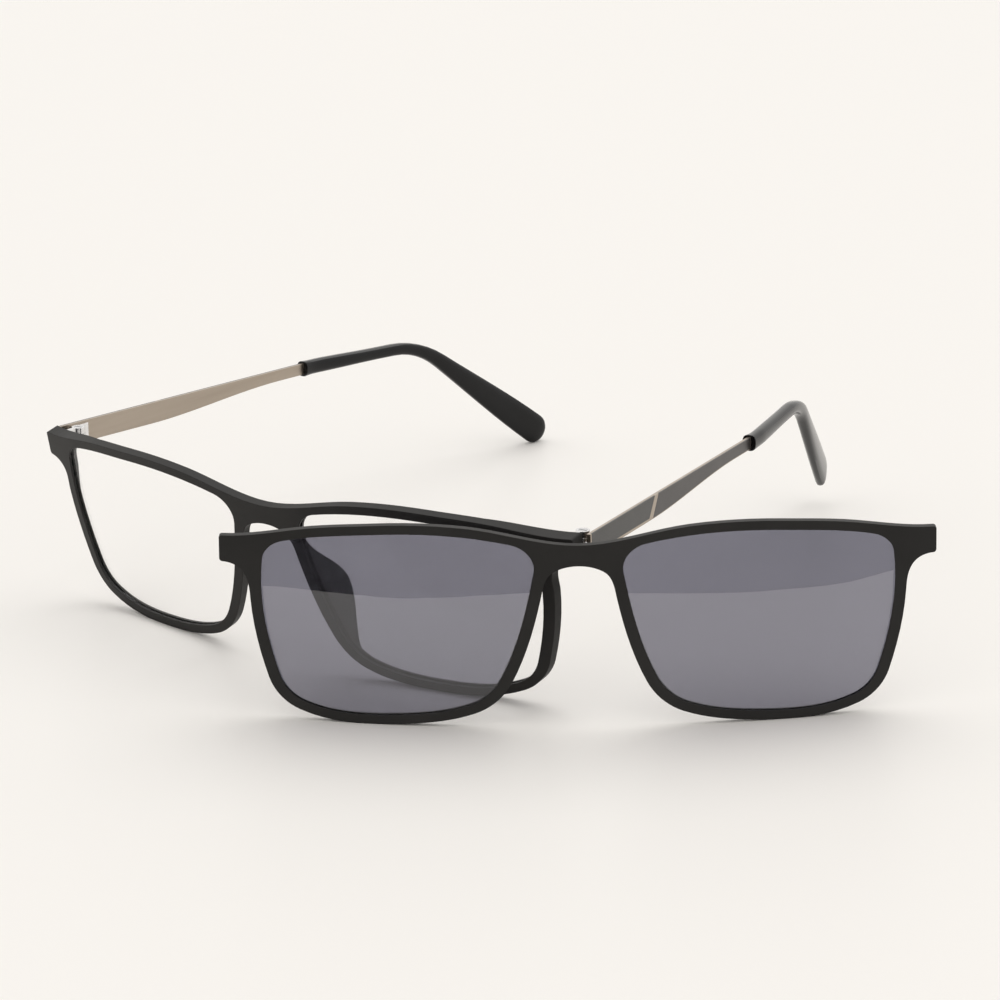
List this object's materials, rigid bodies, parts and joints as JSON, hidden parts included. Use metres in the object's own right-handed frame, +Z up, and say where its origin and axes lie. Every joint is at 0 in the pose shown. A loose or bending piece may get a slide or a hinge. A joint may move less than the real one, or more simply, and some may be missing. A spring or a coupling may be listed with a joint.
{
  "type": "eyeglasses with clip-on sun front",
  "caption": "Rectangular full-rim eyeglasses standing open, with folding steel temples and a magnetic clip-on sun front leaning beside one endpiece.",
  "frame": {"origin": "middle of the overall box at the table the glasses stand on", "axes": "+X across the glasses towards the side where the clip-on stands, +Y back along the temples to the ear ends, +Z up from the table"},
  "size_m": [0.1914, 0.1948, 0.0405],
  "materials": {
    "front_plastic": "matte, moulded in one piece",
    "clear_lens": "clear, polished",
    "sun_lens": "violet-grey polarised, polished",
    "hinge_steel": "bright plated",
    "screw_steel": "bright",
    "magnet_nickel": "nickel plated",
    "temple_steel": "satin, warm silver",
    "front_inlay": "dark gunmetal lacquer",
    "rear_inlay": "dark gunmetal lacquer",
    "ear_sleeve": "glossy black acetate"
  },
  "bodies": {
    "glasses_front": {"front_frame": "front_plastic", "clear_lens_left": "clear_lens", "clear_lens_right": "clear_lens", "front_hinge_leaf_left": "hinge_steel", "front_hinge_leaf_right": "hinge_steel", "hinge_screw_left": "screw_steel", "hinge_screw_right": "screw_steel", "frame_magnet_left": "magnet_nickel", "frame_magnet_right": "magnet_nickel"},
    "left_temple": {"temple_strip_left": "temple_steel", "temple_hinge_leaf_left": "hinge_steel", "front_inlay_left": "front_inlay", "rear_inlay_left": "rear_inlay", "ear_sleeve_left": "ear_sleeve"},
    "right_temple": {"temple_strip_right": "temple_steel", "temple_hinge_leaf_right": "hinge_steel", "front_inlay_right": "front_inlay", "rear_inlay_right": "rear_inlay", "ear_sleeve_right": "ear_sleeve"},
    "clip_on": {"clip_frame": "front_plastic", "sun_lens_left": "sun_lens", "sun_lens_right": "sun_lens", "clip_magnet_left": "magnet_nickel", "clip_magnet_right": "magnet_nickel"}
  },
  "joints": [
    {"name": "left_temple_fold", "type": "hinge", "parent": "glasses_front", "child": "left_temple", "pos_m": [-0.09099, -0.05599, 0.03485], "axis": [0, 0, 1], "range_deg": [-64, 0]},
    {"name": "right_temple_fold", "type": "hinge", "parent": "glasses_front", "child": "right_temple", "pos_m": [0.04171, -0.05599, 0.03485], "axis": [0, 0, 1], "range_deg": [-11.4, 76]},
    {"name": "clip_on_lift", "type": "slide", "parent": "glasses_front", "child": "clip_on", "axis": [0, 0, 1], "range_m": [0, 0.05]}
  ]
}
